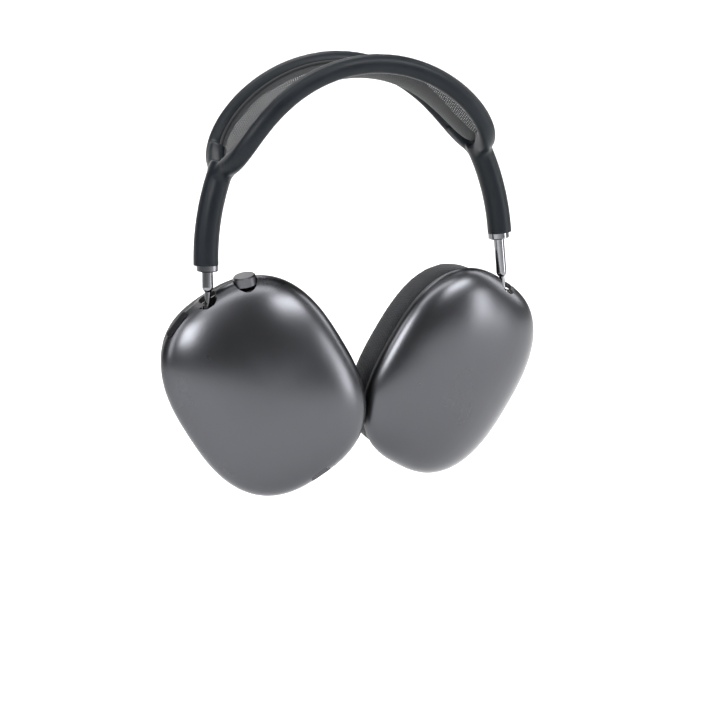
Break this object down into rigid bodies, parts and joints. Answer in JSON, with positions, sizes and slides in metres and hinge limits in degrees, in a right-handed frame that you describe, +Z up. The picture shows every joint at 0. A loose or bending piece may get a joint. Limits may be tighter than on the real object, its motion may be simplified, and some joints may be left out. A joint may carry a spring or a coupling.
{
  "type": "over ear headphones",
  "caption": "Over ear headphones with a rubber covered loop headband, knit canopy, sliding arms, swivelling metal cups, knit ear cushions, turning crown and push button",
  "frame": {"origin": "underside of the knit canopy at the middle of the headband, the point that rests on a head, hook or stand", "axes": "+Z up; +X towards the wearer's left ear; -Y is the way the outer shells face with the cups turned forward, as they hang at rest"},
  "size_m": [0.1714, 0.0531, 0.1834],
  "materials": {
    "core_steel": "satin spring steel",
    "band_rubber": "soft touch, matte",
    "canopy_knit": "open knit, matte",
    "polished_steel": "polished",
    "black_plastic": "moulded, fine texture",
    "shell_aluminium": "bead blasted and anodised, satin",
    "crown_steel": "brushed",
    "cushion_knit": "fine knit over foam",
    "ear_cloth": "acoustic cloth",
    "magnet_nickel": "nickel plated",
    "diaphragm_film": "gloss film",
    "grille_black": "black, satin",
    "board_green": "solder mask",
    "cell_wrap": "foil wrap",
    "light_lens": "clear"
  },
  "bodies": {
    "headband": {"headband_frame": "core_steel", "headband_cover": "band_rubber", "canopy_mesh": "canopy_knit", "guide_bush_left": "black_plastic", "end_collar_left": "polished_steel", "guide_bush_right": "black_plastic", "end_collar_right": "polished_steel"},
    "arm_left": {"arm_left": "polished_steel", "arm_pin_left": "polished_steel", "slide_shoe_left": "black_plastic"},
    "swivel_left": {"swivel_barrel_left": "polished_steel", "tilt_axle_left": "polished_steel"},
    "cup_left": {"outer_shell_left": "shell_aluminium", "joint_liner_left": "black_plastic", "gimbal_cradle_left": "black_plastic", "baffle_left": "black_plastic", "cushion_magnets_left": "magnet_nickel", "baffle_screws_left": "polished_steel", "cushion_plate_left": "black_plastic", "ear_mesh_left": "ear_cloth", "ear_cushion_left": "cushion_knit", "driver_frame_left": "black_plastic", "driver_magnet_left": "magnet_nickel", "driver_diaphragm_left": "diaphragm_film", "speaker_grille_left": "grille_black", "circuit_board_left": "board_green", "battery_cell": "cell_wrap"},
    "arm_right": {"arm_right": "polished_steel", "arm_pin_right": "polished_steel", "slide_shoe_right": "black_plastic"},
    "swivel_right": {"swivel_barrel_right": "polished_steel", "tilt_axle_right": "polished_steel"},
    "cup_right": {"outer_shell_right": "shell_aluminium", "joint_liner_right": "black_plastic", "gimbal_cradle_right": "black_plastic", "baffle_right": "black_plastic", "cushion_magnets_right": "magnet_nickel", "baffle_screws_right": "polished_steel", "cushion_plate_right": "black_plastic", "ear_mesh_right": "ear_cloth", "ear_cushion_right": "cushion_knit", "driver_frame_right": "black_plastic", "driver_magnet_right": "magnet_nickel", "driver_diaphragm_right": "diaphragm_film", "speaker_grille_right": "grille_black", "circuit_board_right": "board_green", "crown_encoder": "black_plastic", "noise_switch": "black_plastic", "charging_port": "crown_steel", "status_light": "light_lens"},
    "crown_shaft": {"crown_shaft": "crown_steel"},
    "crown_knob": {"crown_knob": "shell_aluminium"},
    "noise_button": {"noise_button": "shell_aluminium"}
  },
  "joints": [
    {"name": "arm_slide_left", "type": "slide", "parent": "headband", "child": "arm_left", "axis": [0.0523, 0, -0.9986], "range_m": [-0.0098, 0.004]},
    {"name": "cup_swivel_left", "type": "hinge", "parent": "arm_left", "child": "swivel_left", "pos_m": [0.06739, 0, -0.09779], "axis": [-0.0523, 0, 0.9986], "range_deg": [-5, 88]},
    {"name": "cup_tilt_left", "type": "hinge", "parent": "swivel_left", "child": "cup_left", "pos_m": [0.06739, 0, -0.09779], "axis": [0.9889, 0.1392, 0.0518], "range_deg": [-23.4, 0.6]},
    {"name": "arm_slide_right", "type": "slide", "parent": "headband", "child": "arm_right", "axis": [-0.0523, 0, -0.9986], "range_m": [-0.0016, 0.0122]},
    {"name": "cup_swivel_right", "type": "hinge", "parent": "arm_right", "child": "swivel_right", "pos_m": [-0.06696, 0, -0.08961], "axis": [-0.0523, 0, -0.9986], "range_deg": [-5, 87.2]},
    {"name": "cup_tilt_right", "type": "hinge", "parent": "swivel_right", "child": "cup_right", "pos_m": [-0.06696, 0, -0.08961], "axis": [0.9869, -0.153, -0.0517], "range_deg": [-12.8, 11.2]},
    {"name": "crown_press", "type": "slide", "parent": "cup_right", "child": "crown_shaft", "axis": [0.1841, 0.1181, -0.9758], "range_m": [0, 0.0004], "stiffness_N_per_m": 4000},
    {"name": "crown_turn", "type": "hinge", "parent": "crown_shaft", "child": "crown_knob", "pos_m": [-0.05157, -0.00328, -0.07604], "axis": [-0.1841, -0.1181, 0.9758], "continuous": true},
    {"name": "noise_button_press", "type": "slide", "parent": "cup_right", "child": "noise_button", "axis": [0.7211, 0.3972, -0.5677], "range_m": [0, 0.0002], "stiffness_N_per_m": 8000}
  ]
}
